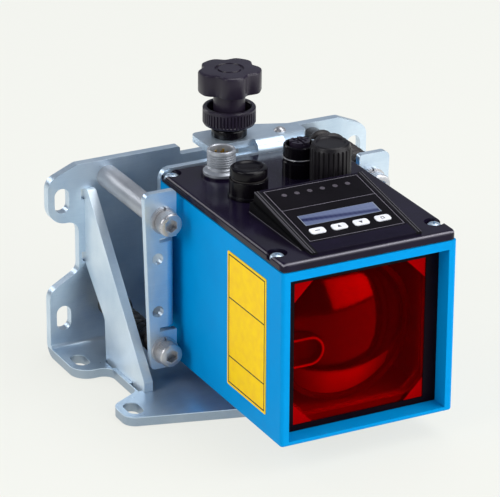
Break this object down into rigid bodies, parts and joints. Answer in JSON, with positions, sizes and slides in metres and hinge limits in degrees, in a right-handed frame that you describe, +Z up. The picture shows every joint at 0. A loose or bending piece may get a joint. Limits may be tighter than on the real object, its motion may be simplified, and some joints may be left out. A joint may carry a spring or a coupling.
{
  "type": "laser distance sensor on alignment bracket",
  "caption": "Boxy laser distance sensor with red front window, display and round plugs on its cover, held by a folded steel alignment bracket with adjusting screws and a star-knob clamp.",
  "frame": {"origin": "middle of the four foot slots, on the underside of the foot", "axes": "+X across the front to the right seen from the front, +Y from the window back to the wall, +Z up"},
  "size_m": [0.1516, 0.1435, 0.1239],
  "materials": {
    "zinc_sheet": "bright zinc plate, fine rolled grain",
    "plated_steel": "plated, lightly brushed",
    "blue_paint": "satin paint",
    "black_plastic": "fine satin grain",
    "black_rubber": "dull moulded rubber",
    "frame_print": "gloss black border behind glass",
    "red_glass": "polished red filter glass",
    "optic_black": "blackened",
    "lens_glass": "polished",
    "board_green": "coated board",
    "panel_foil": "fine satin foil",
    "display_grey": "gloss display window",
    "key_grey": "pale satin key",
    "lamp_grey": "milky lamp lens",
    "yellow_plate": "satin film",
    "plug_metal": "nickel plate",
    "contact_gold": "gold plate"
  },
  "bodies": {
    "bracket": {"wall_bracket": "zinc_sheet", "left_gusset": "zinc_sheet", "right_gusset": "zinc_sheet", "pivot_rod": "plated_steel", "pivot_screw": "plated_steel", "adjuster_bosses": "plated_steel", "lower_bellows": "black_rubber", "upper_bellows": "black_rubber"},
    "carrier": {"carrier_plate": "zinc_sheet", "clamp_bush": "black_plastic", "clamp_hook": "plated_steel", "hook_screws": "plated_steel", "flange_pin": "plated_steel", "housing": "blue_paint", "window_frame": "frame_print", "front_window": "red_glass", "lens_mask": "optic_black", "lens_barrel": "optic_black", "main_lens": "lens_glass", "emitter_tube": "optic_black", "circuit_board": "board_green", "cover_gasket": "black_rubber", "top_cover": "black_plastic", "cover_screws": "plated_steel", "display_foil": "panel_foil", "lcd_window": "display_grey", "led_lenses": "lamp_grey", "side_label": "yellow_plate", "power_plug": "plug_metal", "power_pins": "contact_gold", "capped_socket": "black_plastic", "open_socket": "black_plastic", "open_insert": "black_plastic", "knurled_socket": "plug_metal"},
    "swivel": {"pivot_washer": "plated_steel"},
    "lower_shift": {"lower_adjuster_washer": "plated_steel"},
    "lower_screw": {"lower_adjuster_screw": "plated_steel"},
    "upper_shift": {"upper_adjuster_washer": "plated_steel"},
    "upper_screw": {"upper_adjuster_screw": "plated_steel"},
    "pad": {"pressure_pad": "plated_steel"},
    "knob": {"star_knob": "black_plastic", "clamp_spindle": "plated_steel"},
    "lock_shift": {"lock_washer": "plated_steel"},
    "lock": {"lock_ring": "black_plastic"},
    "key_a": {"key_1": "key_grey"},
    "key_b": {"key_2": "key_grey"},
    "key_c": {"key_3": "key_grey"},
    "key_d": {"key_4": "key_grey"},
    "smooth_shift": {"smooth_seal": "black_rubber"},
    "smooth": {"smooth_cap": "black_plastic"},
    "knurled_shift": {"knurled_seal": "black_rubber"},
    "knurled": {"knurled_cap": "black_plastic"}
  },
  "joints": [
    {"name": "yaw", "type": "hinge", "parent": "bracket", "child": "swivel", "pos_m": [-0.0484, -0.01, 0.078], "axis": [0, 0, 1], "range_deg": [-1.5, 1.5], "deforming": ["upper_bellows", "upper_adjuster_washer", "pivot_washer"]},
    {"name": "pitch", "type": "hinge", "parent": "swivel", "child": "carrier", "pos_m": [-0.0484, -0.01, 0.078], "axis": [1, 0, 0], "range_deg": [-1.5, 1.5], "deforming": ["lower_bellows", "lower_adjuster_washer"]},
    {"name": "lower_shift", "type": "slide", "parent": "bracket", "child": "lower_shift", "axis": [0, 1, 0], "range_m": [-0.00153, 0.00153]},
    {"name": "lower_screw_turn", "type": "hinge", "parent": "lower_shift", "child": "lower_screw", "pos_m": [-0.0484, 0, 0.02], "axis": [0, 1, 0], "range_deg": [-547, 547]},
    {"name": "upper_shift", "type": "slide", "parent": "bracket", "child": "upper_shift", "axis": [0, 1, 0], "range_m": [-0.00254, 0.00254]},
    {"name": "upper_screw_turn", "type": "hinge", "parent": "upper_shift", "child": "upper_screw", "pos_m": [0.0484, 0, 0.078], "axis": [0, 1, 0], "range_deg": [-913, 913]},
    {"name": "knob_lift", "type": "slide", "parent": "carrier", "child": "pad", "axis": [0, 0, 1], "range_m": [0, 0.004]},
    {"name": "knob_turn", "type": "hinge", "parent": "pad", "child": "knob", "pos_m": [0, 0.0248, 0.1], "axis": [0, 0, 1], "range_deg": [0, 1152.1]},
    {"name": "lock_lift", "type": "slide", "parent": "carrier", "child": "lock_shift", "axis": [0, 0, 1], "range_m": [0, 0.0015]},
    {"name": "lock_turn", "type": "hinge", "parent": "lock_shift", "child": "lock", "pos_m": [0, 0.0248, 0.1], "axis": [0, 0, 1], "range_deg": [0, 432.1]},
    {"name": "smooth_cap_lift", "type": "slide", "parent": "carrier", "child": "smooth_shift", "axis": [0, 0, 1], "range_m": [0, 0.004]},
    {"name": "smooth_cap_turn", "type": "hinge", "parent": "smooth_shift", "child": "smooth", "pos_m": [-0.018, -0.0279, 0.1], "axis": [0, 0, 1], "range_deg": [0, 1440.1]},
    {"name": "knurled_cap_lift", "type": "slide", "parent": "carrier", "child": "knurled_shift", "axis": [0, 0, 1], "range_m": [0, 0.004]},
    {"name": "knurled_cap_turn", "type": "hinge", "parent": "knurled_shift", "child": "knurled", "pos_m": [0.0178, -0.0312, 0.1], "axis": [0, 0, 1], "range_deg": [0, 1440.1]},
    {"name": "key_a_press", "type": "slide", "parent": "carrier", "child": "key_a", "axis": [0, 0.1604, -0.987], "range_m": [0, 0.0004], "stiffness_N_per_m": 800},
    {"name": "key_b_press", "type": "slide", "parent": "carrier", "child": "key_b", "axis": [0, 0.1604, -0.987], "range_m": [0, 0.0004], "stiffness_N_per_m": 800},
    {"name": "key_c_press", "type": "slide", "parent": "carrier", "child": "key_c", "axis": [0, 0.1604, -0.987], "range_m": [0, 0.0004], "stiffness_N_per_m": 800},
    {"name": "key_d_press", "type": "slide", "parent": "carrier", "child": "key_d", "axis": [0, 0.1604, -0.987], "range_m": [0, 0.0004], "stiffness_N_per_m": 800}
  ],
  "couplings": [
    {"joint": "lower_shift", "follows": "pitch", "m_per_rad": 0.058},
    {"joint": "lower_screw_turn", "follows": "pitch", "ratio": 364.42},
    {"joint": "upper_shift", "follows": "yaw", "m_per_rad": 0.0968},
    {"joint": "upper_screw_turn", "follows": "yaw", "ratio": 608.21},
    {"joint": "knob_turn", "follows": "knob_lift", "rad_per_m": 5026.5},
    {"joint": "lock_turn", "follows": "lock_lift", "rad_per_m": 5026.5},
    {"joint": "smooth_cap_turn", "follows": "smooth_cap_lift", "rad_per_m": 6283.2},
    {"joint": "knurled_cap_turn", "follows": "knurled_cap_lift", "rad_per_m": 6283.2}
  ]
}
